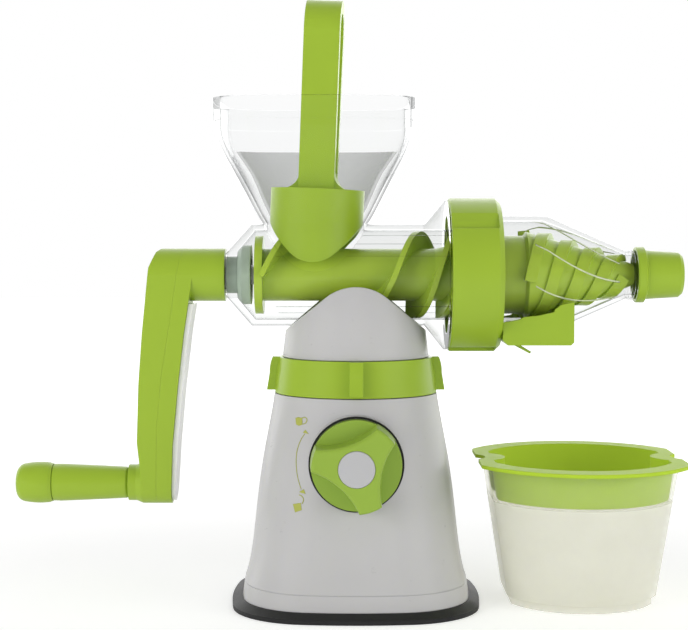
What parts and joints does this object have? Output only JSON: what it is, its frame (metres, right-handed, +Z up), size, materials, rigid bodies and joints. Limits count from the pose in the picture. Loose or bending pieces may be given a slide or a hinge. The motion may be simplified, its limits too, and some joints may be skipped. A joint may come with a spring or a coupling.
{
  "type": "hand cranked juicer",
  "caption": "Hand cranked wheatgrass juicer with a clear hopper and barrel over a suction base with a lever knob, a side crank, a green auger, a nose with chute, and a juice cup.",
  "frame": {"origin": "middle of the underside of the suction pad, on the surface that the juicer stands on", "axes": "+Z up, +X along the barrel towards the outlet, -Y towards the side with the suction knob"},
  "size_m": [0.3398, 0.1329, 0.3053],
  "materials": {
    "black_rubber": "moulded, matt",
    "white_gloss": "smooth moulded, gloss",
    "white_shell": "smooth moulded, gloss",
    "steel_screw": "fine machined",
    "white_inner": "smooth moulded, gloss",
    "black_seal": "moulded, matt",
    "lime_knob": "smooth moulded, soft gloss",
    "white_cap": "smooth moulded, gloss",
    "steel_shaft": "fine machined",
    "cam_plastic": "plain moulded",
    "rod_plastic": "plain moulded",
    "steel_nut": "fine machined",
    "lime_ring": "smooth moulded, soft gloss",
    "white_cradle": "smooth moulded, gloss",
    "clear_barrel": "clear moulded, polished",
    "clear_hopper": "clear moulded, polished",
    "grey_seal": "moulded, satin",
    "silicone_gasket": "moulded, satin",
    "clear_nose": "clear moulded, polished",
    "steel_screen": "fine machined",
    "lime_chute": "smooth moulded, soft gloss",
    "lime_nut": "smooth moulded, soft gloss",
    "green_auger": "smooth moulded, satin",
    "steel_drive": "fine machined",
    "lime_arm": "smooth moulded, soft gloss",
    "lime_hub": "smooth moulded, soft gloss",
    "white_cover": "smooth moulded, gloss",
    "steel_crank_screw": "fine machined",
    "steel_axle": "fine machined",
    "lime_grip": "smooth moulded, soft gloss",
    "lime_grip_cap": "smooth moulded, soft gloss",
    "silicone_washer": "moulded, satin",
    "lime_cap": "smooth moulded, soft gloss",
    "lime_head": "smooth moulded, soft gloss",
    "lime_handle": "smooth moulded, soft gloss",
    "milky_cup": "milky moulded, satin",
    "lime_insert": "smooth moulded, soft gloss"
  },
  "bodies": {
    "stand": {"suction_pad": "black_rubber", "base_ring": "white_gloss", "base_shell": "white_shell", "base_screws": "steel_screw", "shaft_bracket": "white_inner", "knob_bezel": "black_seal", "head_cradle": "white_cradle", "barrel": "clear_barrel", "hopper": "clear_hopper", "rear_seal": "grey_seal", "flange_gasket": "silicone_gasket", "nose_cone": "clear_nose", "juice_screen": "steel_screen", "juice_chute": "lime_chute"},
    "collar": {"lock_ring": "lime_ring"},
    "nut": {"lock_nut": "lime_nut"},
    "crank": {"auger": "green_auger", "drive_shaft": "steel_drive", "crank_outer": "lime_arm", "crank_inner": "lime_hub", "crank_cover": "white_cover", "crank_screw": "steel_crank_screw", "grip_axle": "steel_axle"},
    "handgrip": {"grip": "lime_grip", "grip_cap": "lime_grip_cap"},
    "knob_body": {"knob": "lime_knob", "knob_cap": "white_cap", "knob_shaft": "steel_shaft", "lift_cam": "cam_plastic"},
    "lifter": {"lift_rod": "rod_plastic", "rod_nut": "steel_nut"},
    "pusher": {"pusher_head": "lime_head", "pusher_handle": "lime_handle"},
    "washer": {"outlet_washer": "silicone_washer"},
    "end_cap": {"outlet_cap": "lime_cap"},
    "cup_body": {"cup": "milky_cup"},
    "rim": {"cup_insert": "lime_insert"}
  },
  "joints": [
    {"name": "collar_turn", "type": "hinge", "parent": "stand", "child": "collar", "pos_m": [0, 0, 0.115], "axis": [0, 0, 1], "range_deg": [0, 45]},
    {"name": "nut_turn", "type": "hinge", "parent": "stand", "child": "nut", "pos_m": [0.06, 0, 0.166], "axis": [1, 0, 0], "range_deg": [0, 60]},
    {"name": "crank_turn", "type": "hinge", "parent": "stand", "child": "crank", "pos_m": [0, 0, 0.166], "axis": [1, 0, 0], "continuous": true},
    {"name": "grip_spin", "type": "hinge", "parent": "crank", "child": "handgrip", "pos_m": [-0.13, 0, 0.0594], "axis": [1, 0, 0], "continuous": true},
    {"name": "knob_turn", "type": "hinge", "parent": "stand", "child": "knob_body", "pos_m": [0, -0.05, 0.0755], "axis": [0, 1, 0], "range_deg": [-44, 30]},
    {"name": "pad_lift", "type": "slide", "parent": "stand", "child": "lifter", "axis": [0, 0, 1], "range_m": [-0.00268, 0.00183]},
    {"name": "pusher_slide", "type": "slide", "parent": "stand", "child": "pusher", "axis": [0.0419, 0, 0.9991], "range_m": [0, 0.12]},
    {"name": "washer_slide", "type": "slide", "parent": "stand", "child": "washer", "axis": [1, 0, 0], "range_m": [0, 0.0045]},
    {"name": "cap_turn", "type": "hinge", "parent": "washer", "child": "end_cap", "pos_m": [0.155, 0, 0.166], "axis": [1, 0, 0], "range_deg": [0, 540]},
    {"name": "cup_away", "type": "slide", "parent": "stand", "child": "cup_body", "axis": [0, -1, 0], "range_m": [0, 0.15]},
    {"name": "insert_lift", "type": "slide", "parent": "cup_body", "child": "rim", "axis": [0, 0, 1], "range_m": [0, 0.03]}
  ],
  "couplings": [
    {"joint": "pad_lift", "follows": "knob_turn", "m_per_rad": 0.0034842},
    {"joint": "washer_slide", "follows": "cap_turn", "m_per_rad": 0.00047746}
  ]
}
